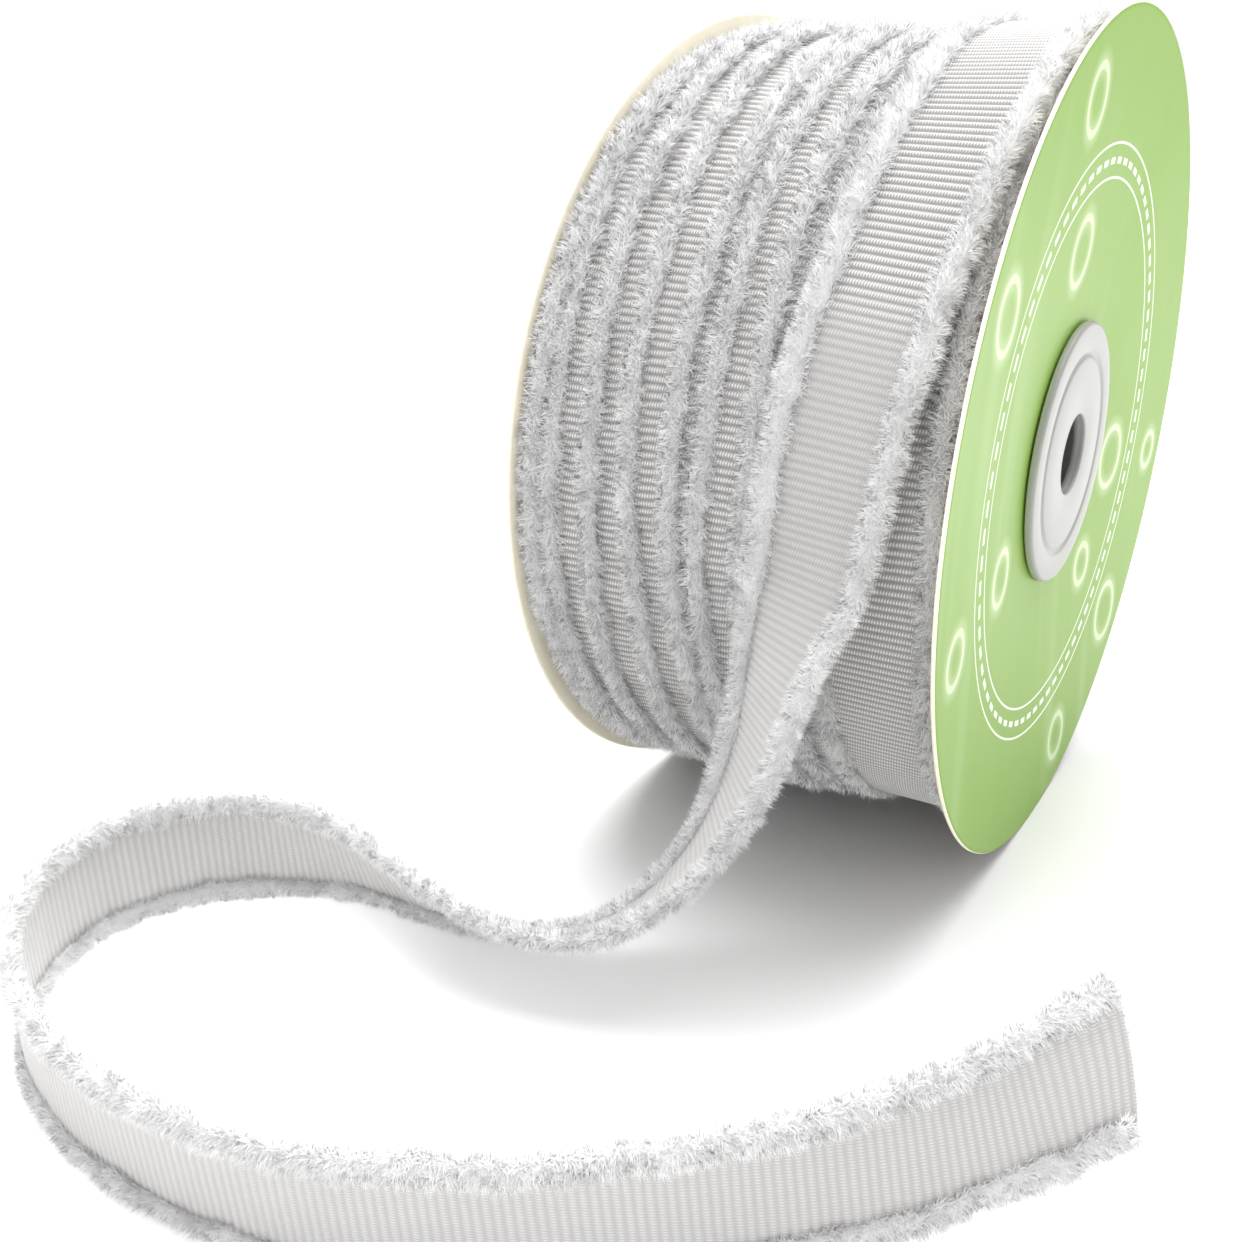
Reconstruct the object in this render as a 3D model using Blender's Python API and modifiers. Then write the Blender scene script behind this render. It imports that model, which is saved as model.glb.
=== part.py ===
"""Spool of grosgrain ribbon with fuzzy edges, standing on its rims on a table.

Two card flanges sit on a plastic hub, with the ribbon wound between them in overlapping turns. The last
turn peels off at the front, comes down to the table, curls round to the left on its edge and ends in a cut
end at the right. The spool's axis runs along X, the loose end lies on the -Y side, and the table is z = 0.
Lengths are in metres, angles in degrees. The winding angle is 0 at the top of the roll, 90 at the front.
"""
import math

import bmesh
import bpy
import numpy as np
from mathutils import Vector

MM = 0.001
GAP = 0.3 * MM

# Spool
FLANGE_RADIUS = 50.8 * MM
FLANGE_CARD = 0.8 * MM
FLANGE_FLAT = 4.4 * MM                      # half the length that is pressed flat where a rim stands
AXIS_HEIGHT = math.sqrt(FLANGE_RADIUS ** 2 - FLANGE_FLAT ** 2)
RIM_FACE = 24.5 * MM                        # outer face of a flange at its rim, from the middle of the spool
SEAT_FACE = 22.0 * MM                       # the same where the flange sits behind the collar
SEAT_RADIUS = 17.0 * MM
LEAN_OUT_FRONT = 2.1 * MM                   # how far the left rim is pushed outwards at the front
LEAN_OUT_BOTTOM = 1.8 * MM                  # and at the bottom
FLANGE_STEPS = 96

# Hub
COLLAR_RADIUS = 16.2 * MM
COLLAR_FACE = 23.2 * MM
COLLAR_BACK = SEAT_FACE + GAP
COLLAR_ROUND = 0.35 * MM
GROOVE_RADIUS = 12.4 * MM
GROOVE_WIDTH = 0.6 * MM
GROOVE_DEPTH = 0.4 * MM
TUBE_RADIUS = 12.0 * MM
BORE_RADIUS = 5.0 * MM
HUB_STEPS = 48

# Ribbon
RIBBON_WIDTH = 15.3 * MM
FUZZ_WIDTH = 3.0 * MM                       # the fuzzy edge on either side of the woven band
FUZZ_HALF_THICK = 1.25 * MM
BAND_HALF_THICK = 0.5 * MM
EDGE_PLACES = (0.0, 0.2, 0.5, 0.85, 1.1)    # points across a fuzzy edge, as shares of its width

# Wound ribbon: one row for each turn of the outer layer, in winding order
ROLL_BORE = TUBE_RADIUS + GAP
ROLL_BASE = 45.6 * MM                       # radius under the outer layer
SHINGLE = 0.1                               # fall of a turn across its width, as it slips under the next
ROLL_ROW = 4.5                              # degrees from one row of points to the next
ROLL_COLUMNS = 26                           # columns of points left of the last turn
LAST_TURN_COLUMNS = (0.0, 0.4, 0.9, 1.5, 2.2, 2.8, 3.2, 6.1, 9.2, 12.1, 12.5, 13.1, 13.8, 14.4, 14.9, 15.3)
RIGHT_COLUMNS = (0.2, 0.6, 1.0)             # columns right of the last turn, as shares of the way to the end
WOUND_AT = 47.0 * MM                        # radius at which the roll's ends are set against the flanges
TURNS = (
    # left edge in mm from the middle of the spool, radius of the band in mm
    (-26.2, 48.9),
    (-23.4, 48.7),
    (-18.8, 48.4),
    (-13.5, 48.3),
    (-7.9, 48.2),
    (-4.6, 48.0),
    (0.3, 47.5),
    (4.1, 46.8),
    (7.9, 46.5),
    (7.2, 48.9),
)
LAST_TURN = len(TURNS) - 1
WANDER = ((0.34, 129.0), (0.20, 53.0))      # the turns' edges wave by this many mm over this many degrees
PEEL_DRIFT_FROM = 30.0                      # winding angle where the last turn starts to run left
PEEL_DRIFT = 3.8 * MM                       # how far left it has run where it leaves the roll
PEEL_DRIFT_DONE = 103.0                     # where it would stop running left
PEEL_LIFT = 0.7 * MM                        # how far it has lifted where it leaves the roll
PEEL_ANGLE = 84.0
PEEL_STEP = 0.6                             # the step down behind the last turn, in degrees

# Loose end: middle of the ribbon and the direction across it, from its left or lower edge to the other
TAIL_STEP = 4.4 * MM
TAIL_START = PEEL_ANGLE + PEEL_STEP + 1.0
PEEL_STATIONS = (
    # winding angle, heading and rise of the across direction
    (TAIL_START, -4, -7),
    (TAIL_START + 7.0, -5, -6),
)
TAIL_STATIONS = (
    # x, y, z in mm from the point under the middle of the spool, heading and rise of the across direction
    (9.8, -51.4, 44.6, -20, -4),
    (7.4, -54.4, 29.7, -43, 1),
    (2.8, -58.8, 16.2, -60, 9),
    (-6.8, -65.0, 7.4, -72, 25),
    (-21.8, -68.6, 6.3, -74, 48),
    (-38.0, -68.6, 7.2, -60, 70),
    (-52.8, -74.9, 7.5, 0, 90),
    (-59.3, -89.0, 7.5, 0, 90),
    (-52.2, -103.0, 7.5, 0, 90),
    (-38.0, -110.3, 7.5, 0, 90),
    (-22.1, -112.1, 7.5, -90, 87),
    (-6.6, -109.6, 7.6, -90, 86),
    (7.9, -103.6, 8.2, -104, 86),
    (21.2, -94.9, 9.6, -130, 87),
    (32.8, -84.9, 11.3, 154, 83),
    (42.1, -74.3, 13.4, 145, 76),
    (48.7, -65.1, 15.9, 128, 68),
)

# Colours as in daylight: linear red, green, blue, then roughness
CARD_GREEN = (0.43, 0.67, 0.28, 0.42)
CARD_CREAM = (0.86, 0.80, 0.62, 0.70)
HUB_WHITE = (0.76, 0.76, 0.72, 0.38)
RIBBON_WHITE = (0.74, 0.72, 0.70, 0.85)


def clear_scene():
    for obj in list(bpy.data.objects):
        bpy.data.objects.remove(obj, do_unlink=True)


def plain_material(name, look):
    mat = bpy.data.materials.new(name)
    mat.use_nodes = True
    shader = mat.node_tree.nodes["Principled BSDF"]
    shader.inputs["Base Color"].default_value = (*look[:3], 1.0)
    shader.inputs["Roughness"].default_value = look[3]
    shader.inputs["Metallic"].default_value = 0.0
    return mat


def add_part(name, mesh, look, collection):
    mesh.shade_smooth()
    mesh.set_sharp_from_angle(angle=math.radians(35))
    mesh.materials.append(plain_material(name, look))
    obj = bpy.data.objects.new(name, mesh)
    collection.objects.link(obj)
    return obj


def smooth_step(t):
    t = min(max(t, 0.0), 1.0)
    return t * t * (3.0 - 2.0 * t)


def turned_mesh(name, profile, steps):
    """Closed (radius, height) outline turned about Z with Screw, then laid over so that Z runs along X."""
    curve_mesh = bpy.data.meshes.new(name + "_profile")
    points = [(radius, 0.0, height) for radius, height in profile]
    edges = [(i, (i + 1) % len(points)) for i in range(len(points))]
    curve_mesh.from_pydata(points, edges, [])
    turned = bpy.data.objects.new(name + "_turned", curve_mesh)
    bpy.context.scene.collection.objects.link(turned)
    screw = turned.modifiers.new("turn", "SCREW")
    screw.angle = math.tau
    screw.steps = screw.render_steps = steps
    screw.use_merge_vertices = True
    screw.merge_threshold = 0.00001
    evaluated = turned.evaluated_get(bpy.context.evaluated_depsgraph_get())
    mesh = bpy.data.meshes.new_from_object(evaluated)
    bpy.data.objects.remove(turned, do_unlink=True)
    mesh.name = name
    for vertex in mesh.vertices:
        x, y, z = vertex.co
        vertex.co = (z, y, x)
    closed = bmesh.new()
    closed.from_mesh(mesh)
    bmesh.ops.recalc_face_normals(closed, faces=closed.faces)
    closed.to_mesh(mesh)
    closed.free()
    return mesh


def press_on_table(mesh, height=0.0):
    """Flatten what would reach under the table. The height is the table's in the mesh's own frame."""
    for vertex in mesh.vertices:
        vertex.co.z = max(vertex.co.z, height)


def flange_face(radius):
    """Outer face of a flat-lying flange: level behind the collar, then dished out to the rim."""
    return SEAT_FACE + (RIM_FACE - SEAT_FACE) * max(0.0, (radius - SEAT_RADIUS) / (FLANGE_RADIUS - SEAT_RADIUS))


def left_lean(y, z):
    """How far the left flange is bent outwards at a place, with y and z from the spool's axis."""
    radius = math.hypot(y, z)
    reach = max(0.0, (radius - SEAT_RADIUS) / (FLANGE_RADIUS - SEAT_RADIUS))
    return reach * (-y * LEAN_OUT_FRONT - z * LEAN_OUT_BOTTOM) / max(radius, SEAT_RADIUS)


def flange_mesh(name, side):
    rim_round = 0.2 * MM
    hole = TUBE_RADIUS + GAP
    profile = [
        (hole, flange_face(hole)),
        (SEAT_RADIUS, flange_face(SEAT_RADIUS)),
        (FLANGE_RADIUS - rim_round, flange_face(FLANGE_RADIUS - rim_round)),
        (FLANGE_RADIUS, flange_face(FLANGE_RADIUS) - rim_round),
        (FLANGE_RADIUS, flange_face(FLANGE_RADIUS) - FLANGE_CARD),
        (SEAT_RADIUS, SEAT_FACE - FLANGE_CARD),
        (hole, SEAT_FACE - FLANGE_CARD),
    ]
    mesh = turned_mesh(name, [(radius, side * x) for radius, x in profile], FLANGE_STEPS)
    if side < 0:
        for vertex in mesh.vertices:
            vertex.co.x -= left_lean(vertex.co.y, vertex.co.z)
    press_on_table(mesh, -AXIS_HEIGHT)
    return mesh


def hub_mesh(name):
    """Tube with a collar at each end that holds the flange, and a ring groove in each collar's face."""
    half = [
        (BORE_RADIUS, COLLAR_FACE - COLLAR_ROUND),
        (BORE_RADIUS + COLLAR_ROUND, COLLAR_FACE),
        (GROOVE_RADIUS - GROOVE_WIDTH / 2, COLLAR_FACE),
        (GROOVE_RADIUS, COLLAR_FACE - GROOVE_DEPTH),
        (GROOVE_RADIUS + GROOVE_WIDTH / 2, COLLAR_FACE),
        (COLLAR_RADIUS - COLLAR_ROUND, COLLAR_FACE),
        (COLLAR_RADIUS, COLLAR_FACE - COLLAR_ROUND),
        (COLLAR_RADIUS, COLLAR_BACK),
        (TUBE_RADIUS, COLLAR_BACK),
    ]
    profile = half + [(radius, -x) for radius, x in reversed(half)]
    return turned_mesh(name, profile, HUB_STEPS)


def wander(turn, angle):
    """How far a turn's edge has strayed sideways at a winding angle, without a break from turn to turn."""
    total = 360.0 * turn + angle
    return sum(size * MM * math.sin(math.tau * total / degrees) for size, degrees in WANDER)


def peel_drift(angle):
    """How far the last turn has run to the left on its way to the place where it leaves the roll."""
    span = PEEL_DRIFT_DONE - PEEL_DRIFT_FROM
    whole = smooth_step((PEEL_ANGLE - PEEL_DRIFT_FROM) / span)
    return PEEL_DRIFT * smooth_step((angle - PEEL_DRIFT_FROM) / span) / whole


def turn_place(turn, angle):
    """Left edge and band radius of a turn at a winding angle. It steps over to the next turn at the back."""
    edge, radius = (value * MM for value in TURNS[turn])
    if turn == LAST_TURN:
        lift = max(0.0, (angle - PEEL_DRIFT_FROM) / (PEEL_ANGLE - PEEL_DRIFT_FROM))
        return edge - peel_drift(angle), radius + PEEL_LIFT * lift ** 2
    step = smooth_step((angle - 180.0) / 180.0)
    next_edge, next_radius = (value * MM for value in TURNS[turn + 1])
    edge += (next_edge - edge) * step + wander(turn, angle)
    radius += (next_radius - radius) * step
    return edge, radius


def ribbon_height(across):
    """Half thickness of the ribbon at a distance across it: thick and round at its fuzzy edges."""
    from_edge = min(across, RIBBON_WIDTH - across)
    if from_edge > FUZZ_WIDTH:
        return BAND_HALF_THICK
    bulge = 1.0 - (2.0 * from_edge / FUZZ_WIDTH - 1.0) ** 2
    return max(FUZZ_HALF_THICK * math.sqrt(max(bulge, 0.0)), BAND_HALF_THICK)


def roll_radius(x, angle):
    """Outer surface of the wound ribbon: the highest of the turns that lie over a place."""
    surface = ROLL_BASE
    for turn in range(len(TURNS)):
        if turn == LAST_TURN and angle > PEEL_ANGLE:
            continue
        edge, radius = turn_place(turn, angle)
        across = x - edge
        if 0.0 <= across <= RIBBON_WIDTH:
            fall = 0.0 if turn == LAST_TURN else SHINGLE * across
            surface = max(surface, radius - fall + ribbon_height(across))
    return surface


def roll_columns(angle, low, high):
    """Places of the roll's points from end to end. They follow the last turn's edges, to keep these clean."""
    if angle <= PEEL_ANGLE:
        edge = turn_place(LAST_TURN, angle)[0]
    else:
        back = smooth_step((angle - PEEL_ANGLE) / (180.0 - PEEL_ANGLE))
        leaving = turn_place(LAST_TURN, PEEL_ANGLE)[0]
        edge = leaving + (turn_place(LAST_TURN - 1, angle)[0] - leaving) * back
    edge = min(edge, high - RIBBON_WIDTH - GAP)
    left = list(np.linspace(low, edge - 0.2 * MM, ROLL_COLUMNS))
    last = [edge + offset * MM for offset in LAST_TURN_COLUMNS]
    return left + last + [last[-1] + (high - last[-1]) * share for share in RIGHT_COLUMNS]


def roll_end(side, y, z):
    """Where the roll ends at its outer radius, clear of the flange beside it."""
    face = flange_face(math.hypot(y, z)) - FLANGE_CARD - 2.0 * GAP
    if side > 0:
        return face
    return -face - left_lean(y, z)


def roll_mesh(name):
    angles = sorted([(PEEL_ANGLE + i * ROLL_ROW) % 360.0 for i in range(int(360.0 / ROLL_ROW))]
                    + [PEEL_ANGLE + PEEL_STEP])
    bore_end = SEAT_FACE - FLANGE_CARD - 2.5 * GAP
    body = bmesh.new()
    rows = []
    for angle in angles:
        y_dir = -math.sin(math.radians(angle))
        z_dir = math.cos(math.radians(angle))
        low = roll_end(-1, y_dir * WOUND_AT, z_dir * WOUND_AT)
        high = roll_end(1, y_dir * WOUND_AT, z_dir * WOUND_AT)
        section = [(-bore_end, ROLL_BORE)]
        section += [(x, roll_radius(x, angle)) for x in roll_columns(angle, low, high)]
        section.append((bore_end, ROLL_BORE))
        rows.append([body.verts.new((x, y_dir * radius, z_dir * radius)) for x, radius in section])
    bridge_rows(body, rows + [rows[0]], closed_section=True)
    return finish_mesh(body, name)


def bridge_rows(body, rows, closed_section):
    """Quads between neighbouring rows of points."""
    count = len(rows[0])
    for first, second in zip(rows, rows[1:]):
        for i in range(count if closed_section else count - 1):
            j = (i + 1) % count
            body.faces.new((first[i], first[j], second[j], second[i]))


def finish_mesh(body, name):
    bmesh.ops.recalc_face_normals(body, faces=body.faces)
    mesh = bpy.data.meshes.new(name)
    body.to_mesh(mesh)
    body.free()
    return mesh


def natural_spline(knots, values, places):
    """Smooth curve through the values at the knots, with no bend at its two ends, read at the places."""
    knots, values = np.asarray(knots), np.asarray(values)
    count = len(knots)
    span = np.diff(knots)
    system = np.eye(count)
    right = np.zeros_like(values)
    for i in range(1, count - 1):
        system[i, i - 1:i + 2] = (span[i - 1], 2.0 * (span[i - 1] + span[i]), span[i])
        right[i] = 6.0 * ((values[i + 1] - values[i]) / span[i] - (values[i] - values[i - 1]) / span[i - 1])
    bend = np.linalg.solve(system, right)
    index = np.clip(np.searchsorted(knots, places, side="right") - 1, 0, count - 2)
    h = span[index][:, None]
    a = (knots[index + 1] - places)[:, None] / h
    b = 1.0 - a
    bow = ((a ** 3 - a) * bend[index] + (b ** 3 - b) * bend[index + 1]) * h ** 2 / 6.0
    return a * values[index] + b * values[index + 1] + bow


def across_direction(heading, rise):
    heading, rise = math.radians(heading), math.radians(rise)
    return (math.cos(heading) * math.cos(rise), math.sin(heading) * math.cos(rise), math.sin(rise))


def tail_path():
    """Points along the middle of the loose end and the direction across it at each, evenly spaced."""
    middles, acrosses = [], []
    for angle, heading, rise in PEEL_STATIONS:
        edge, radius = turn_place(LAST_TURN, angle)
        turned = math.radians(angle)
        x = edge + RIBBON_WIDTH / 2
        middles.append((x, -radius * math.sin(turned), AXIS_HEIGHT + radius * math.cos(turned)))
        acrosses.append(across_direction(heading, rise))
    for x, y, z, heading, rise in TAIL_STATIONS:
        middles.append((x * MM, y * MM, z * MM))
        acrosses.append(across_direction(heading, rise))
    middles, acrosses = np.array(middles), np.array(acrosses)
    knots = np.concatenate([[0.0], np.cumsum(np.linalg.norm(np.diff(middles, axis=0), axis=1))])
    steps = int(round(knots[-1] / TAIL_STEP))
    places = np.linspace(0.0, knots[-1], steps + 1)
    path = natural_spline(knots, middles, places)
    across = natural_spline(knots, acrosses, places)
    tangent = np.gradient(path, axis=0)
    tangent /= np.linalg.norm(tangent, axis=1)[:, None]
    across -= (across * tangent).sum(axis=1)[:, None] * tangent
    across /= np.linalg.norm(across, axis=1)[:, None]
    return path, tangent, across


def ribbon_section():
    """Outline of the ribbon cut across, as (across, thickness) pairs: a thin band between two fuzzy edges."""
    half = RIBBON_WIDTH / 2
    places = [-half + share * FUZZ_WIDTH for share in EDGE_PLACES]
    places += [-place for place in reversed(places)]
    thick = [ribbon_height(place + half) for place in places]
    return list(zip(places, thick)) + [(place, -t) for place, t in zip(reversed(places), reversed(thick))]


def tail_mesh(name):
    """The loose end as a loft of the ribbon's section along its path, flat where it stands on the table."""
    section = ribbon_section()
    body = bmesh.new()
    rows = []
    for point, tangent, across in zip(*tail_path()):
        point, across = Vector(point), Vector(across)
        face = Vector(tangent).cross(across)
        rows.append([body.verts.new(point + across * a + face * t) for a, t in section])
    bridge_rows(body, rows, closed_section=True)
    body.faces.new(rows[0])
    body.faces.new(rows[-1])
    mesh = finish_mesh(body, name)
    press_on_table(mesh)
    return mesh


def stand_on_origin(objects, collection):
    """Hang the parts on one empty and move it, so that the origin lies under the middle of the whole."""
    corners = [obj.matrix_world @ Vector(corner) for obj in objects for corner in obj.bound_box]
    stand = bpy.data.objects.new("ribbon_spool_stand", None)
    collection.objects.link(stand)
    for obj in objects:
        obj.parent = stand
    middle = [(min(c[i] for c in corners) + max(c[i] for c in corners)) / 2 for i in (0, 1)]
    stand.location = (-middle[0], -middle[1], 0.0)


def main():
    clear_scene()
    collection = bpy.data.collections.new("ribbon_spool")
    bpy.context.scene.collection.children.link(collection)
    on_axis = [
        add_part("flange_right", flange_mesh("flange_right", 1), CARD_GREEN, collection),
        add_part("flange_left", flange_mesh("flange_left", -1), CARD_CREAM, collection),
        add_part("hub", hub_mesh("hub"), HUB_WHITE, collection),
        add_part("ribbon_roll", roll_mesh("ribbon_roll"), RIBBON_WHITE, collection),
    ]
    for obj in on_axis:
        obj.location.z = AXIS_HEIGHT
    tail = add_part("ribbon_tail", tail_mesh("ribbon_tail"), RIBBON_WHITE, collection)
    bpy.context.view_layer.update()
    stand_on_origin(on_axis + [tail], collection)


main()
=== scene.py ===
"""Looks of a spool of grosgrain ribbon with fuzzy edges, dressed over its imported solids.

The whole visible ribbon is one path: ten overlapping turns round the roll, the last of which peels off at
the front, comes down and curls over the table on its edge. Everything on the ribbon is placed by how far
along and how far across it lies. The spool's axis runs along X and the table is z = 0. Lengths are in metres,
angles in degrees. The winding angle is 0 at the top of the roll, 90 at the front and 360 more for each turn.
"""

import math

import bpy
import numpy as np
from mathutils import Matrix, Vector


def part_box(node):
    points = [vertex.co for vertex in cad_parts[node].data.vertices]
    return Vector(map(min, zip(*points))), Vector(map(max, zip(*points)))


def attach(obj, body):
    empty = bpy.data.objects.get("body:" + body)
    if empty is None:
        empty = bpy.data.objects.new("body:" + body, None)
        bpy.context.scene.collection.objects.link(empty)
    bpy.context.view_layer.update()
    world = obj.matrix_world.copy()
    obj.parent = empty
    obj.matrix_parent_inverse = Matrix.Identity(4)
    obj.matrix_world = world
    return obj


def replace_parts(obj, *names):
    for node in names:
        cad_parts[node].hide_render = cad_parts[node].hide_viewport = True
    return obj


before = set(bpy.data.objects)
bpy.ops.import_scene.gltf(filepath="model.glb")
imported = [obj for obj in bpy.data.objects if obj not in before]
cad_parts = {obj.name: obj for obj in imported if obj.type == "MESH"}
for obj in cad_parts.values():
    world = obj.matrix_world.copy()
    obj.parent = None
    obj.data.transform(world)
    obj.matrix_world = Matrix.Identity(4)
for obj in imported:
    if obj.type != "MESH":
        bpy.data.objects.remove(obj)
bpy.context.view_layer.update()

MM = 0.001

# Places that come from the solids
HUB_LOW, HUB_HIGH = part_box("hub")
SPOOL = np.array((HUB_LOW + HUB_HIGH) / 2)  # middle of the spool, on its axis
FLANGE_LOW, FLANGE_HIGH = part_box("flange_right")
FLANGE_RADIUS = (FLANGE_HIGH.y - FLANGE_LOW.y) / 2
COLLAR_RADIUS = (HUB_HIGH.y - HUB_LOW.y) / 2

# Camera, placed from the point under the middle of the spool
CAMERA_LOOK = (-43.74 * MM, 0.0, 13.06 * MM)
CAMERA_AZIMUTH = 32.764
CAMERA_ELEVATION = 22.632
CAMERA_DISTANCE = 207.8 * MM
CAMERA_LENS = 37.26

# Light
WORLD_HORIZON = 1.01  # strength of the light from all round,
WORLD_TOP = 0.72  # and from above
WORLD_RISE = (0.03, 0.3)  # upward share of the directions between which it changes
LIGHT_AIM = (0.0, 0.0, 0.03)
KEY_PLACE = (-0.1, 0.28, 0.95)
KEY_SIZE = (1.1, 1.1)
KEY_POWER = 19.5
FILL_PLACE = (-0.25, -0.90, 0.25)
FILL_SIZE = (0.8, 0.5)
FILL_POWER = 0.35
FLOOR_REACH = 6.0
FLOOR_DROP = 0.0001
# The floor glows though it is no lamp: painted light, none near the spool so its shadow shows, and a spot
# under the loop of the loose end that lights it from below
FLOOR_GLOWS = (
    # the floor's own light: x and y of a place from the middle of the spool, the two distances from it
    # between which the light changes, and its strength inside and outside them
    (0.0, 0.0, 0.022, 0.070, 0.0, 0.32),
    (0.0, 0.0, 0.085, 0.160, 0.0, 0.50),
    (-0.048, -0.087, 0.008, 0.033, 0.45, 0.0),
)

# Card flanges
RIM_FACE = 24.5 * MM  # outer face at the rim, from the middle of the spool
SEAT_FACE = 22.0 * MM  # the same behind the collar
SEAT_RADIUS = 17.0 * MM
FLANGE_CARD = 0.8 * MM  # the solid's thickness
CARD_THICK = 0.5 * MM  # the real card's
CARD_HOLE = COLLAR_RADIUS - 3.5 * MM  # radius of the hole in each card, behind the collar
LEAN_OUT_FRONT = 2.1 * MM
LEAN_OUT_BOTTOM = 1.8 * MM

# Ribbon
RIBBON_WIDTH = 15.3 * MM
BAND_FROM = 0.8 * MM  # the woven band runs on under the fuzz as far as this
BAND_HALF_THICK = 0.17 * MM
RIB_PITCH = 0.874 * MM
RIB_HEIGHT = 0.21 * MM
LOOSE_RIB_SHARE = 0.45  # how much of that is left where the ribbon hangs free
RIB_FADE = 9.0 * MM  # length over which they flatten,
RIB_FADE_UP_TO = -15.0 * MM  # up to here from the peel
WARP_PITCH = 0.31 * MM
FUZZ_MIDDLE = 1.6 * MM  # middle of a fuzzy edge, from the ribbon's outermost fibres
SHINGLE = 0.1  # fall of a turn across its width
TUCK = 0.9 * MM  # how far a turn dips where it slips under the next one
TUCK_SLOPE = 2.0 * MM  # width over which it dips
TUCK_FADE = 25.0  # degrees over which the dip dies out
ROOM = (3.3 * MM, 9.0 * MM)  # least and most that a turn shows beside the next one

# Turns of the outer layer: left edge from the middle of the spool and radius of the band, both in mm.
# The first row is the start, hidden under the next turn.
TURNS = np.array((
    (-25.4, 47.0),
    (-26.2, 49.4),
    (-23.4, 48.9),
    (-18.8, 48.4),
    (-13.5, 48.3),
    (-7.9, 48.2),
    (-4.6, 48.0),
    (0.3, 47.5),
    (4.1, 46.8),
    (7.9, 46.5),
    (7.2, 48.9),
))
LAST_TURN = len(TURNS) - 1
WOUND_FROM = 180.0  # winding angle where the hidden start begins
WANDER = ((0.34, 129.0), (0.20, 53.0))
WANDER_FADE = 40.0
SLACK = (
    # where the two leftmost turns stand off the left flange: winding angle and reach in degrees, and how far
    # they are moved to the right and inwards, in mm
    (3.0, 22.0, 0.8, 1.6),
    (146.0, 30.0, 1.1, 0.9),
    (363.0, 22.0, 0.4, 0.8),
    (506.0, 30.0, 0.6, 0.4),
)
PEEL_DRIFT_FROM = 30.0
PEEL_DRIFT = 3.8 * MM
PEEL_DRIFT_DONE = 103.0
PEEL_LIFT = 0.7 * MM
PEEL_ANGLE = 84.0
TAIL_ANGLE = 85.6  # where the loose end's own path takes over

# Loose end: middle of the ribbon and the direction across it, from its left or lower edge to the other
PEEL_STATIONS = (
    # winding angle, heading and rise of the across direction
    (TAIL_ANGLE, -4, -7),
    (TAIL_ANGLE + 7.0, -5, -6),
)
TAIL_STATIONS = (
    # x, y, z in mm from the point under the middle of the spool, heading and rise of the across direction
    (9.8, -51.4, 44.6, -20, -4),
    (7.4, -54.4, 29.7, -43, 1),
    (2.8, -58.8, 16.2, -60, 9),
    (-6.8, -65.0, 7.4, -72, 25),
    (-21.8, -68.6, 6.3, -74, 48),
    (-38.0, -68.6, 7.2, -60, 70),
    (-52.8, -74.9, 7.5, 0, 90),
    (-59.3, -89.0, 7.5, 0, 90),
    (-52.2, -103.0, 7.5, 0, 90),
    (-38.0, -110.3, 7.5, 0, 90),
    (-22.1, -112.1, 7.5, -90, 87),
    (-6.6, -109.6, 7.6, -90, 86),
    (7.9, -103.6, 8.2, -104, 86),
    (21.2, -94.9, 9.6, -130, 87),
    (32.8, -84.9, 11.3, 154, 83),
    (42.1, -74.3, 13.4, 145, 76),
    (48.7, -65.1, 15.9, 128, 68),
)
# How far the oblique cut stands out across the ribbon: a parabola's three factors, in mm. The ribs near it
# lean with it over its span.
CUT_REACH = (-0.8, 6.0, -3.2)
CUT_SPAN = 9.0 * MM
LOOSE_FROM = -60.0  # winding angle of the last turn where the finer piece starts
UNCOVERED_FROM = 15.0  # that of the turn under it where its right edge shows


def smooth_step(t):
    t = np.clip(t, 0.0, 1.0)
    return t * t * (3.0 - 2.0 * t)


def unit(vectors):
    return vectors / np.maximum(np.linalg.norm(vectors, axis=-1, keepdims=True), 1e-12)


class Noise:
    """Smooth random values in space, the same at every run."""

    def __init__(self, seed, channels=1):
        self.table = np.random.default_rng(seed).uniform(-1.0, 1.0, (16, 16, 16, channels))

    def at(self, points):
        cell = np.floor(points).astype(int)
        share = smooth_step(points - cell)
        total = 0.0
        for corner in np.ndindex(2, 2, 2):
            weight = np.prod(np.where(corner, share, 1.0 - share), axis=1)
            i, j, k = ((cell + corner) % 16).T
            total = total + self.table[i, j, k] * weight[:, None]
        return total


# Shape of the spool

def dish_share(radius):
    """How far out a radius lies on a flange's dished part: 0 behind the collar, 1 at the rim."""
    return np.maximum(0.0, (radius - SEAT_RADIUS) / (FLANGE_RADIUS - SEAT_RADIUS))


def flange_face(radius):
    """Outer face of the right flange: level behind the collar, then dished out to the rim."""
    return SEAT_FACE + (RIM_FACE - SEAT_FACE) * dish_share(radius)


def left_lean(y, z):
    """How far the left flange is bent outwards at a place, with y and z from the spool's axis."""
    radius = np.hypot(y, z)
    return dish_share(radius) * (-y * LEAN_OUT_FRONT - z * LEAN_OUT_BOTTOM) / np.maximum(radius, SEAT_RADIUS)


# Path of the ribbon

def wander(angle):
    """Sideways waves of the turns' edges. They die out before the last turn."""
    waves = sum(size * MM * np.sin(math.tau * angle / degrees) for size, degrees in WANDER)
    return waves * smooth_step((360.0 * (LAST_TURN - 1) - angle) / WANDER_FADE)


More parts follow.
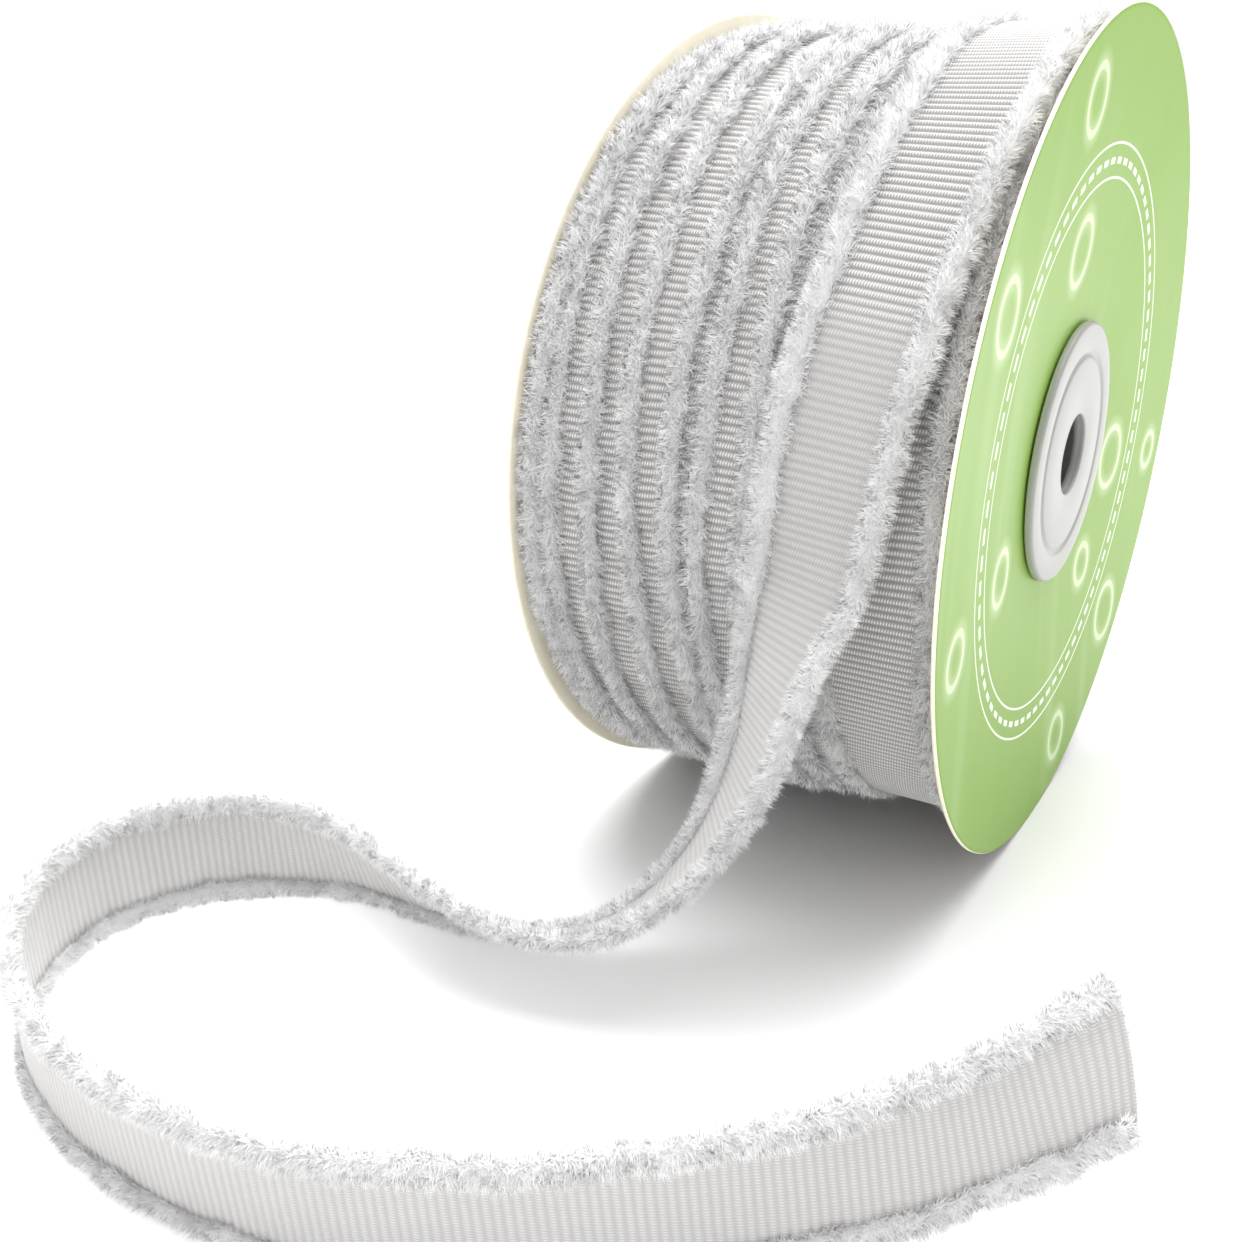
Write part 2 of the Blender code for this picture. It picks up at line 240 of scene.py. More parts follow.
def turn_edge(angle):
    """Left edge and band radius of the wound ribbon. Each turn steps over to the next one at the back."""
    turn = np.clip(np.floor(angle / 360.0).astype(int) + 1, 0, LAST_TURN)
    within = angle - 360.0 * (turn - 1)
    following = np.minimum(turn + 1, LAST_TURN)
    step = smooth_step((within - 180.0) / 180.0) * (turn < LAST_TURN)
    edge, radius = (TURNS[turn] + (TURNS[following] - TURNS[turn]) * step[:, None]).T * MM
    span = PEEL_DRIFT_DONE - PEEL_DRIFT_FROM
    at_peel = smooth_step((PEEL_ANGLE - PEEL_DRIFT_FROM) / span)
    drift = smooth_step((within - PEEL_DRIFT_FROM) / span) / at_peel
    lift = np.maximum(0.0, (within - PEEL_DRIFT_FROM) / (PEEL_ANGLE - PEEL_DRIFT_FROM)) ** 2
    on_last = turn == LAST_TURN
    right, inward = slack(angle)
    edge = edge + wander(angle) + right - on_last * PEEL_DRIFT * drift
    radius = radius - inward + on_last * PEEL_LIFT * lift
    return clear_of_flange(edge, radius, angle), radius


def slack(angle):
    """How far the leftmost turns are moved to the right and inwards."""
    total = np.zeros((2, len(angle)))
    for middle, reach, right, inward in SLACK:
        share = np.exp(-0.5 * ((angle - middle) / reach) ** 2)
        total += np.array([[right], [inward]]) * MM * share
    return total


def clear_of_flange(edge, radius, angle):
    """Push an edge that would reach the left flange back inside it."""
    room = -0.2 * MM
    softness = 0.4 * MM
    turned = np.radians(angle)
    y, z = -radius * np.sin(turned), radius * np.cos(turned)
    low = -(flange_face(radius) - FLANGE_CARD) - left_lean(y, z) + room
    return (edge + low + np.sqrt((edge - low) ** 2 + softness ** 2)) / 2


def shingle_tilt(angle):
    """Fall of a turn across its width. It fades over the two turns before the last, which lies level."""
    last_start = 360.0 * (LAST_TURN - 1)
    return SHINGLE * smooth_step((last_start - angle) / 720.0)


def natural_spline(knots, values, places):
    """Smooth curve through the values at the knots, with no bend at its two ends, read at the places."""
    knots, values = np.asarray(knots), np.asarray(values)
    count = len(knots)
    span = np.diff(knots)
    system = np.eye(count)
    right = np.zeros_like(values)
    for i in range(1, count - 1):
        system[i, i - 1:i + 2] = (span[i - 1], 2.0 * (span[i - 1] + span[i]), span[i])
        right[i] = 6.0 * ((values[i + 1] - values[i]) / span[i] - (values[i] - values[i - 1]) / span[i - 1])
    bend = np.linalg.solve(system, right)
    index = np.clip(np.searchsorted(knots, places, side="right") - 1, 0, count - 2)
    h = span[index][:, None]
    a = (knots[index + 1] - places)[:, None] / h
    b = 1.0 - a
    bow = ((a ** 3 - a) * bend[index] + (b ** 3 - b) * bend[index + 1]) * h ** 2 / 6.0
    return a * values[index] + b * values[index + 1] + bow


def across_direction(heading, rise):
    heading, rise = math.radians(heading), math.radians(rise)
    return (math.cos(heading) * math.cos(rise), math.sin(heading) * math.cos(rise), math.sin(rise))


def wound_path(step):
    """The ribbon from its start to the peel: middle, direction across, room, tuck and winding angle."""
    first, last = -WOUND_FROM, 360.0 * (LAST_TURN - 1) + TAIL_ANGLE
    angle = np.linspace(first, last, int((last - first) * math.radians(TURNS[1, 1]) * MM / step))
    edge, radius = turn_edge(angle)
    turned = np.radians(angle)
    out = np.stack([np.zeros_like(turned), -np.sin(turned), np.cos(turned)], axis=1)
    across = unit(np.array((1.0, 0.0, 0.0)) - out * shingle_tilt(angle)[:, None])
    start = np.stack([edge, -radius * np.sin(turned), radius * np.cos(turned)], axis=1)
    middle = SPOOL + start + across * RIBBON_WIDTH / 2
    next_edge = turn_edge(angle + 360.0)[0]
    tuck = smooth_step((last - 360.0 - angle) / TUCK_FADE)
    return middle, across, np.clip(next_edge - edge, *ROOM), tuck, angle


def loose_path(step):
    """Middle of the ribbon and direction across it, from the peel to the cut end."""
    middles, acrosses = [], []
    for angle, heading, rise in PEEL_STATIONS:
        edge, radius = turn_edge(np.array([360.0 * (LAST_TURN - 1) + angle]))
        turned = math.radians(angle)
        y, z = -radius[0] * math.sin(turned), radius[0] * math.cos(turned)
        middles.append((edge[0] + RIBBON_WIDTH / 2, y, z))
        acrosses.append(across_direction(heading, rise))
    for x, y, z, heading, rise in TAIL_STATIONS:
        middles.append((x * MM, y * MM, z * MM - SPOOL[2]))
        acrosses.append(across_direction(heading, rise))
    middles, acrosses = np.array(middles), np.array(acrosses)
    knots = np.concatenate([[0.0], np.cumsum(np.linalg.norm(np.diff(middles, axis=0), axis=1))])
    places = np.linspace(0.0, knots[-1], int(knots[-1] / step))[1:]
    return SPOOL + natural_spline(knots, middles, places), unit(natural_spline(knots, acrosses, places))


class Ribbon:
    """The whole visible ribbon, read at evenly spaced places along it."""

    STEP = RIB_PITCH / 8
    EASED_OVER = 9.0 * MM

    def __init__(self):
        wound, wound_across, room, tuck, angle = wound_path(self.STEP)
        loose, loose_across = loose_path(self.STEP)
        middle = np.concatenate([wound, loose])
        across = np.concatenate([wound_across, loose_across])
        along = np.concatenate([[0.0], np.cumsum(np.linalg.norm(np.diff(middle, axis=0), axis=1))])
        self.length = along[-1]
        self.peel_at = along[len(wound) - 1]
        self.places = np.arange(0.0, self.length, self.STEP)
        extra = len(loose)
        columns = np.column_stack([middle, across, np.pad(room, (0, extra), "edge"),
                                   np.pad(tuck, (0, extra)), np.pad(angle, (0, extra), "edge")])
        even = np.column_stack([np.interp(self.places, along, column) for column in columns.T])
        even[:, :6] = self.eased(even[:, :6])
        self.middle, across = even[:, :3], even[:, 3:6]
        self.room, self.tuck, self.angle = even[:, 6], even[:, 7], even[:, 8]
        self.tangent = unit(np.gradient(self.middle, axis=0))
        across = across - (across * self.tangent).sum(axis=1, keepdims=True) * self.tangent
        self.across = unit(across)
        self.face = np.cross(self.tangent, self.across)

    def eased(self, values):
        """Smooth out the joint between the wound and the loose path."""
        reach = int(self.EASED_OVER / self.STEP)
        weights = np.exp(-0.5 * (np.arange(-reach, reach + 1) / (reach / 2.5)) ** 2)
        weights /= weights.sum()
        centre = int(self.peel_at / self.STEP)
        first, last = centre - 4 * reach, centre + 4 * reach
        part = values[first:last]
        soft = np.column_stack([np.convolve(column, weights, mode="same") for column in part.T])
        share = np.exp(-0.5 * ((np.arange(first, last) - centre) / (1.2 * reach)) ** 2)[:, None]
        share = np.where(np.abs(np.arange(first, last) - centre)[:, None] > 2.8 * reach, 0.0, share)
        eased = values.copy()
        eased[first:last] = part + (soft - part) * share
        return eased

    def at(self, places):
        """Middle, tangent, across and face directions, room, tuck and winding angle at places along it."""
        index = np.clip(places / self.STEP, 0, len(self.places) - 1.001)
        low = index.astype(int)
        share = index - low

        def read(values):
            mix = share if values.ndim == 1 else share[:, None]
            return values[low] * (1.0 - mix) + values[low + 1] * mix

        tables = (self.middle, self.tangent, self.across, self.face, self.room, self.tuck, self.angle)
        return [read(values) for values in tables]

    def cut_shift(self, columns, places):
        """How far the oblique cut pulls points near the loose end along the ribbon."""
        share = columns / RIBBON_WIDTH
        reach = (CUT_REACH[0] + share * (CUT_REACH[1] + share * CUT_REACH[2])) * MM
        return reach * smooth_step((places - self.length) / CUT_SPAN + 1.0)

    def place_of(self, angle):
        """How far along the ribbon a winding angle lies."""
        return float(np.interp(angle, self.angle, self.places))


# Meshes

def new_object(name, data):
    obj = bpy.data.objects.new(name, data)
    bpy.context.scene.collection.objects.link(obj)
    return obj


def new_piece(name, points, faces, materials, uv=None, face_materials=None, normals=None):
    """One object from points and quads or triangles, riding on the part's one body."""
    mesh = bpy.data.meshes.new(name)
    count, corners = faces.shape
    mesh.vertices.add(len(points))
    mesh.vertices.foreach_set("co", np.asarray(points, np.float32).ravel())
    mesh.loops.add(count * corners)
    mesh.loops.foreach_set("vertex_index", np.asarray(faces, np.int32).ravel())
    mesh.polygons.add(count)
    mesh.polygons.foreach_set("loop_start", np.arange(0, count * corners, corners, dtype=np.int32))
    mesh.polygons.foreach_set("use_smooth", np.full(count, True))
    for material in materials:
        mesh.materials.append(material)
    if face_materials is not None:
        mesh.polygons.foreach_set("material_index", np.asarray(face_materials, np.int32))
    if uv is not None:
        layer = mesh.uv_layers.new(name="pattern")
        layer.data.foreach_set("uv", np.asarray(uv, np.float32)[faces.ravel()].ravel())
    mesh.update()
    mesh.validate()
    if normals is not None:
        mesh.normals_split_custom_set_from_vertices(normals)
    obj = new_object(name, mesh)
    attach(obj, "root")
    return obj


def grid_faces(rows, columns, closed=False):
    """Quads of a grid of points. A closed grid's last column is joined to its first."""
    quads_across = columns if closed else columns - 1
    row, column = np.meshgrid(np.arange(rows - 1), np.arange(quads_across), indexing="ij")
    following = (column + 1) % columns
    first = row * columns
    second = (row + 1) * columns
    corners = [first + column, second + column, second + following, first + following]
    return np.stack(corners, axis=-1).reshape(-1, 4)


def rib_height(ribbon, along):
    """Height of the ribs over the band's middle surface, flatter where the ribbon isn't pulled tight."""
    flat_from = ribbon.peel_at + RIB_FADE_UP_TO
    share = 1.0 - (1.0 - LOOSE_RIB_SHARE) * smooth_step((along - flat_from) / RIB_FADE + 1.0)
    return -RIB_HEIGHT * 0.5 * share * np.cos(math.tau * along / RIB_PITCH)


INNER_COLUMNS = (3.9 * MM, 7.65 * MM, 11.4 * MM)  # places across the band, between its two sides
TUCKED_COLUMNS = (-0.4 * MM, 0.7 * MM, 2.2 * MM)  # the same on a covered turn, from the next turn's edge


def band_columns(room, tuck):
    """Places across the woven band at each station: even, or closed up where the next turn covers it."""
    first, last = np.full_like(room, BAND_FROM), np.full_like(room, RIBBON_WIDTH - BAND_FROM)
    even = np.array((BAND_FROM, *INNER_COLUMNS, RIBBON_WIDTH - BAND_FROM))
    tucked = np.stack([first, *(room + offset for offset in TUCKED_COLUMNS), last], axis=1)
    return even + (tucked - even) * tuck[:, None]


def band_points(ribbon, places, side):
    """Points of the band's outer (1) or inner (-1) surface."""
    middle, tangent, across, face, room, tuck, _ = ribbon.at(places)
    columns = band_columns(room, tuck)
    dip = -TUCK * tuck[:, None] * smooth_step((columns - room[:, None] - TUCKED_COLUMNS[0]) / TUCK_SLOPE)
    height = side * (BAND_HALF_THICK + rib_height(ribbon, places))[:, None] + dip
    shift = ribbon.cut_shift(columns, places[:, None])
    points = kept_clear(middle[:, None] + across[:, None] * (columns - RIBBON_WIDTH / 2)[..., None]
                        + face[:, None] * height[..., None] + tangent[:, None] * shift[..., None])
    uv = np.stack([columns / MM, np.broadcast_to(places[:, None] / MM, columns.shape)], axis=-1)
    return points, uv


def wound_band(ribbon, material, last):
    """Woven band of the wound turns: the outer surface alone, as the lower one never shows."""
    places = np.arange(0.0, last, RIB_PITCH / 4)
    points, uv = band_points(ribbon, places, 1)
    faces = grid_faces(points.shape[0], points.shape[1])
    return new_piece("ribbon_wound", points.reshape(-1, 3), faces, [material], uv.reshape(-1, 2))


def loose_band(ribbon, material, first):
    """Woven band of the last turn and the loose end: closed, with ribs on both faces."""
    places = np.arange(first, ribbon.length, RIB_PITCH / 6)
    outer, outer_uv = band_points(ribbon, places, 1)
    inner, inner_uv = band_points(ribbon, places, -1)
    points = np.concatenate([outer, inner[:, ::-1]], axis=1)
    uv = np.concatenate([outer_uv, inner_uv[:, ::-1]], axis=1)
    rows, columns = points.shape[:2]
    faces = grid_faces(rows, columns, closed=True)
    half = columns // 2
    caps = []
    for row, order in ((0, 1), (rows - 1, -1)):
        for i in range(half - 1):
            quad = [row * columns + j for j in (i, i + 1, columns - 2 - i, columns - 1 - i)]
            caps.append(quad[::order])
    faces = np.concatenate([faces, np.array(caps)])
    return new_piece("ribbon_loose", points.reshape(-1, 3), faces, [material], uv.reshape(-1, 2))


# Fuzzy edges

CORE_HALF_WIDTH = 1.15 * MM
CORE_HALF_HEIGHT = 0.75 * MM
CORE_LIFT = 0.25 * MM  # how far the edges of a wound turn stand over its band
CORE_STEP = 1.2 * MM
LUMP_LENGTH = 4.5 * MM
SWELL_LENGTH = 17.0 * MM
LUMP_SHIFT = 0.45 * MM  # how far lumps move an edge's middle outwards,
LUMP_RISE = 0.2 * MM  # and up
LUMP_SIZE = 0.35  # how far they change its thickness
# Stretch where the left edge is fuller: middle from the peel, reach, how much fuller, and how far inwards
HANGING = (30.0 * MM, 38.0 * MM)
HANGING_SIZE = 0.35
HANGING_INSET = 0.3 * MM
FIBRE_LENGTH = 1.05 * MM
FIBRE_WIDTH = 0.10 * MM
COARSE_TUFT = (0.7, 0.8 * MM)  # how far fibres lean with their tuft, and the tufts' size
FINE_TUFT = (0.6, 0.35 * MM)
SCATTER = 0.42  # how far each fibre leans by itself
STRAY_SHARE = 0.02  # stray fibres: how many there are,
STRAY_LENGTH = 1.7  # and how much longer
STRAY_WIDTH = 0.5  # and thinner they are
EDGE_LIGHT = 2.0  # how much a fibre that lies flat takes the light as the
SKY_LIGHT = 1.0  # edge under it would, and as one that faces up would
TONE_SIZE = 1.6 * MM  # size of the lighter and darker patches
PIT_SIZE = 0.9 * MM
PIT_FROM = 0.78  # how rare the pits are,
PIT_SOFTNESS = 0.45  # and how soft their edges
FIBRES_SEEN = 210  # fibres to a millimetre of edge, at the front and the top
FIBRES_BEHIND = 90  # the same at the back of the roll
FIBRES_ALL_ROUND = 340  # the same along the loose end
TURN_PARTS = (
    # first and last winding angle of each part of a turn, and its fibres to a millimetre
    (150.0, 310.0, FIBRES_BEHIND),
    (310.0, 510.0, FIBRES_SEEN),
)
OPEN_SIDES = (-45, 205)  # angles round a wound edge where fibres stand, from outwards
ALL_ROUND = (-180, 180)
WOUND_PIECES = 3
TABLE_GAP = 0.02 * MM
CARD_GAP = 0.05 * MM
LUMP = Noise(5, 3)
TUFT = Noise(9, 3)
TONE = Noise(13)
PIT = Noise(17)


def fuzz_frame(ribbon, places, side):
    """Middle line of a fuzzy edge with its outward and face directions, and the lumps' share in its size."""
    middle, tangent, across, face, _, tuck, _ = ribbon.at(places)
    out = across * side
    shift = ribbon.cut_shift((1 + side) / 2 * RIBBON_WIDTH, places)
    middle = middle + face * CORE_LIFT * tuck[:, None] + tangent * shift[:, None]
    line = np.stack([places / LUMP_LENGTH, np.full_like(places, 3.3 * side), places / SWELL_LENGTH], axis=1)
    lump = LUMP.at(line) * 0.55 + LUMP.at(line * 2.7 + 5.0) * 0.45
    fuller = (side < 0) * np.exp(-0.5 * ((places - ribbon.peel_at - HANGING[0]) / HANGING[1]) ** 2)
    inset = FUZZ_MIDDLE + HANGING_INSET * fuller[:, None] - LUMP_SHIFT * lump[:, :1]
    middle = middle + out * (RIBBON_WIDTH / 2 - inset)
    size = 1.0 + LUMP_SIZE * lump[:, 2] + HANGING_SIZE * fuller
    return middle + face * LUMP_RISE * lump[:, 1:2], out, face, size


def fuzz_core(ribbon, name, material, stretches):
    """Thick threads inside the fuzzy edges that the fibres stand on."""
    around = np.radians(np.arange(0, 360, 60))
    points, faces, count = [], [], 0
    for side, first, last in stretches:
        places = np.arange(first, last, CORE_STEP)
        middle, out, face, size = fuzz_frame(ribbon, places, side)
        if last == ribbon.length:
            size = size * np.clip((last - places) / CORE_STEP, 0.15, 1.0)
        ring = (out[:, None] * (np.cos(around) * CORE_HALF_WIDTH)[None, :, None]
                + face[:, None] * (np.sin(around) * CORE_HALF_HEIGHT)[None, :, None])
        grid = middle[:, None] + ring * size[:, None, None]
        quads = grid_faces(len(places), len(around), closed=True)
        points.append(grid.reshape(-1, 3))
        faces.append((quads if side < 0 else quads[:, ::-1]) + count)
        count += grid.shape[0] * grid.shape[1]
    return new_piece(name, kept_clear(np.concatenate(points)), np.concatenate(faces), [material])


def kept_clear(points):
    """Press what would reach through the table or a flange flat against it."""
    points[..., 2] = np.maximum(points[..., 2], TABLE_GAP)
    x, y, z = np.moveaxis(points - SPOOL, -1, 0)
    radius = np.hypot(y, z)
    reach = flange_face(radius) - CARD_THICK - CARD_GAP
    clear = np.clip(x, -reach - left_lean(y, z), reach)
    points[..., 0] = SPOOL[0] + np.where(radius < FLANGE_RADIUS, clear, x)
    return points


def fibre_roots(ribbon, rng, side, first, last, per_mm, low, high):
    """Fibre roots of a stretch, the edge's outward direction there and the sine of their angle round it."""
    count = int((last - first) / MM * per_mm)
    turned = np.radians(rng.uniform(low, high, count))
    middle, out, face, size = fuzz_frame(ribbon, rng.uniform(first, last, count), side)
    cosine, sine = np.cos(turned)[:, None], np.sin(turned)[:, None]
    normal = unit(out * cosine / CORE_HALF_WIDTH + face * sine / CORE_HALF_HEIGHT)
    root = middle + (out * cosine * CORE_HALF_WIDTH + face * sine * CORE_HALF_HEIGHT) * size[:, None]
    return root, normal, sine[:, 0]


def fibre_triangles(rng, root, normal, wound):
    """A slim triangle on each root that leans with its tuft, and the normal stored for it.

    The stored normals lean towards the edge's own surface and the sky, because real fibres pass light on to
    each other. Along the loose end the fibres are shorter and more even.
    """
    leaning, full_length = (1.0, FIBRE_LENGTH) if wound else (0.7, 0.85 * FIBRE_LENGTH)
    count = len(root)
    coarse = COARSE_TUFT[0] * TUFT.at(root / COARSE_TUFT[1])
    tuft = coarse + FINE_TUFT[0] * TUFT.at(root / FINE_TUFT[1] + 7.0)
    rise = rng.uniform(0.25, 1.15, (count, 1))
    grow = unit(rise * normal + leaning * (tuft + rng.normal(0.0, SCATTER, (count, 3))))
    stray = rng.random(count) < STRAY_SHARE
    length = full_length * rng.uniform(0.7, 1.25, count) * (1.0 + 0.3 * tuft[:, 0])
    length = length * np.where(stray, STRAY_LENGTH, 1.0)
    wide = unit(unit(np.cross(grow, normal)) + rng.normal(0.0, 0.35, (count, 3)))
    half_width = FIBRE_WIDTH / 2 * rng.uniform(0.7, 1.3, count) * np.where(stray, STRAY_WIDTH, 1.0)
    wide = wide * half_width[:, None]
    facing = unit(np.cross(wide, grow))
    outward = np.sign((facing * normal).sum(axis=1, keepdims=True))
    wide, facing = wide * outward, facing * outward
    aligned = (facing * normal).sum(axis=1, keepdims=True)
    points = np.stack([root - wide, root + wide, root + grow * length[:, None]], axis=1)
    return points, unit(facing + aligned * (EDGE_LIGHT * normal + (0.0, 0.0, SKY_LIGHT)))


def fibre_shades(rng, root, height, wound):
    """Each fibre's own shade, and the painted light of its two roots and its tip.

    The light is painted: on the roll the fibres get painted shade at their roots and on the sides of the
    edge, where the next turn lies close, and along the loose end a little at their roots.
    """
    count = len(root)
    patch = 0.5 * TONE.at(root / TONE_SIZE)[:, 0]
    shade = np.clip(0.5 + 0.5 * rng.uniform(-1.0, 1.0, count) + patch, 0.0, 1.0)
    # painted light: full at the tip of a fibre on top of the edge, painted shade at the roots and on the
    # edge's sides
    high_light = 0.15 + 0.85 * smooth_step((height + 0.35) / 0.95) if wound else np.full(count, 0.86)
    low_light = high_light * (0.5 if wound else 0.88)
    light = np.stack([low_light, low_light, high_light], axis=1)
    return np.stack([np.stack([shade, shade, shade], axis=1), light], axis=2)


def fuzz_fibres(ribbon, name, material, stretches, seed, wound=True):
    """Short fibres that lean together in tufts over the fuzzy edges. On the roll they leave pits open."""
    rng = np.random.default_rng(seed)
    points, normals, patterns = [], [], []
    for stretch in stretches:
        root, normal, height = fibre_roots(ribbon, rng, *stretch)
        triangles, stored = fibre_triangles(rng, root, normal, wound)
        points.append(triangles)
        normals.append(stored)
        patterns.append(fibre_shades(rng, root, height, wound))
    points, normals, patterns = np.concatenate(points), np.concatenate(normals), np.concatenate(patterns)
    if wound:
        filled = smooth_step((PIT.at(points[:, 0] / PIT_SIZE)[:, 0] + PIT_FROM) / PIT_SOFTNESS)
        kept = rng.random(len(points)) < filled
        points, normals, patterns = points[kept], normals[kept], patterns[kept]
    faces = np.arange(len(points) * 3).reshape(-1, 3)
    return new_piece(name, kept_clear(points).reshape(-1, 3), faces, [material],
                     patterns.reshape(-1, 2), normals=np.repeat(normals, 3, axis=0))


def cut_threads(ribbon, material):
    """Loose thread ends that stand out of the cut end of the woven band."""
    rng = np.random.default_rng(41)
    count = 240
    middle, tangent, across, face, _, _, _ = ribbon.at(np.full(count, ribbon.length - 0.1 * MM))
    place = rng.uniform(BAND_FROM - RIBBON_WIDTH / 2, RIBBON_WIDTH / 2 - BAND_FROM, (count, 1))
    shift = ribbon.cut_shift(place + RIBBON_WIDTH / 2, ribbon.length)
    through = face * rng.uniform(-1.0, 1.0, (count, 1)) * BAND_HALF_THICK
    root = middle + across * place + tangent * shift + through
    grow = unit(tangent + rng.normal(0.0, 0.45, (count, 3)))
    wide = unit(np.cross(grow, rng.normal(0.0, 1.0, (count, 3)))) * FIBRE_WIDTH / 2
    length = rng.uniform(0.2, 1.0, (count, 1)) ** 2 * 1.6 * MM
    points = kept_clear(np.stack([root - wide, root + wide, root + grow * length], axis=1))
    # painted shade at the thread roots, lighter towards the tips
    pattern = np.tile([(0.8, 0.3), (0.8, 0.3), (0.8, 1.0)], (count, 1))
    faces = np.arange(count * 3).reshape(-1, 3)
    return new_piece("cut_threads", points.reshape(-1, 3), faces, [material], pattern)


def wound_fibres(ribbon, material, covered_to, last):
    """Fibres of the wound turns: their left edges in groups of turns, and the one right edge that shows."""
    stretches = []
    for turn in range(LAST_TURN):
        for low, high, per_mm in TURN_PARTS:
            places = [min(ribbon.place_of(360.0 * (turn - 1) + angle), last) for angle in (low, high)]
            stretches.append((-1, *places, per_mm, *OPEN_SIDES))
    per_piece = math.ceil(len(stretches) / WOUND_PIECES)
    pieces = []
    for i in range(WOUND_PIECES):
        group = stretches[i * per_piece:(i + 1) * per_piece]
        pieces.append(fuzz_fibres(ribbon, f"fuzz_wound_{i + 1}", material, group, 20 + i))
    right = [(1, covered_to, last, FIBRES_SEEN, *OPEN_SIDES)]
    pieces.append(fuzz_fibres(ribbon, "fuzz_wound_right", material, right, 30))
    return pieces


def loose_fibres(ribbon, material, first):
    """Fibres all round both edges of the last turn and the loose end."""
    pieces = []
    for name, side, seed in (("left", -1, 31), ("right", 1, 32)):
        stretches = [(side, first, ribbon.length, FIBRES_ALL_ROUND, *ALL_ROUND)]
        pieces.append(fuzz_fibres(ribbon, f"fuzz_loose_{name}", material, stretches, seed, False))
    return pieces


def under_turns(material):
    """The roll under its outer turns: a plain ring in the yarn's painted shade, that shows only as darkness
    between them.

    It stays clear of the left flange, which is bent inwards at the back.
    """
    outer, inner, half = 44.2 * MM, CARD_HOLE, 20.6 * MM
    bulge = 1.2 * MM
    profile = [(-half, inner), (-half, outer - MM), (-half + MM, outer), (half, outer),
               (half + bulge, outer - MM), (half + bulge, inner + 4 * MM), (half, inner)]
    return lathe("ribbon_under", profile, 128, [material])


def lathe(name, profile, steps, materials, face_materials=None, shape=None):
    """Closed outline of (x, radius) pairs turned about the spool's axis."""
    turned = np.linspace(0.0, math.tau, steps, endpoint=False)
    x, radius = np.array(profile).T
    points = np.stack([np.broadcast_to(x, (steps, len(x))), -radius * np.sin(turned)[:, None],
                       radius * np.cos(turned)[:, None]], axis=-1)
    if shape is not None:
        points[..., 0] += shape(points[..., 1], points[..., 2])
    points = np.concatenate([points, points[:1]]) + SPOOL
    faces = grid_faces(steps + 1, len(x), closed=True)
    last = steps * len(x)
    faces = np.where(faces >= last, faces - last, faces)
    points[..., 2] = np.maximum(points[..., 2], 0.0)
    per_face = None if face_materials is None else np.tile(face_materials, steps)
    return new_piece(name, points[:-1].reshape(-1, 3), faces[:, ::-1], materials,
                     face_materials=per_face)


def card_flange(name, side, print_material, card_material):
    """A card flange: printed outer face, plain inner face and cut edge."""
    rings = np.concatenate([np.linspace(CARD_HOLE, SEAT_RADIUS, 3),
                            np.linspace(SEAT_RADIUS + 3 * MM, FLANGE_RADIUS - 0.8 * MM, 10),
                            [FLANGE_RADIUS - 0.3 * MM, FLANGE_RADIUS - 0.1 * MM]])
    soften = np.where(rings > FLANGE_RADIUS - 0.2 * MM, 0.04 * MM, 0.0)
    outer = [(flange_face(r) - s, r) for r, s in zip(rings, soften)]
    rim = [(flange_face(FLANGE_RADIUS) - 0.14 * MM, FLANGE_RADIUS),
           (flange_face(FLANGE_RADIUS) - CARD_THICK + 0.1 * MM, FLANGE_RADIUS)]
    inner = [(flange_face(r) - CARD_THICK, r) for r in rings[::-1]]
    profile = [(side * x, r) for x, r in outer + rim + inner]
    kinds = [0] * (len(outer) - 1) + [1] * (len(profile) - len(outer) + 1)

    def shape(y, z):
        return -left_lean(y, z) if side < 0 else 0.0 * y

    made = lathe(name, profile, 256, [print_material, card_material], kinds, shape)
    if side < 0:
        made.data.flip_normals()
    return made


def hub_shell(material):
    """Thin-walled hub: a tube with a holed plate, a ring groove and a collar at each end."""
    plate, wall, bore = 1.4 * MM, 10.6 * MM, 5.0 * MM
    tube, back = 12.0 * MM, SEAT_FACE + 0.3 * MM
    groove, groove_width, groove_depth = 12.4 * MM, 1.5 * MM, 0.3 * MM
    face = HUB_HIGH.x - SPOOL[0]
    edge, lip = 0.5 * MM, 0.25 * MM
    half = [(face - plate, bore), (face - lip, bore)]
    half += [(face - lip * (1 - math.sin(a)), bore + lip * (1 - math.cos(a))) for a in (0.5, 1.0, 1.57)]
    half += [(face - groove_depth * math.cos(math.pi * t / 2) ** 2, groove + groove_width / 2 * t)
             for t in np.linspace(-1.0, 1.0, 9)]
    half += [(face - edge * (1 - math.cos(a)), COLLAR_RADIUS - edge * (1 - math.sin(a)))
             for a in np.linspace(0.0, math.pi / 2, 6)]
    half += [(back, COLLAR_RADIUS), (back, tube)]
    profile = half + [(-x, radius) for x, radius in reversed(half)]
    profile += [(plate - face, wall), (face - plate, wall)]
    return lathe("hub_shell", profile, 128, [material])


# Materials

# Fibre colours: painted shade for roots and deep fibres, and the lit white of the open tips
FUZZ_SHADED = ((0.32, 0.32, 0.32), (0.52, 0.52, 0.52))
FUZZ_LIT = ((0.90, 0.90, 0.90), (1.0, 1.0, 1.0))
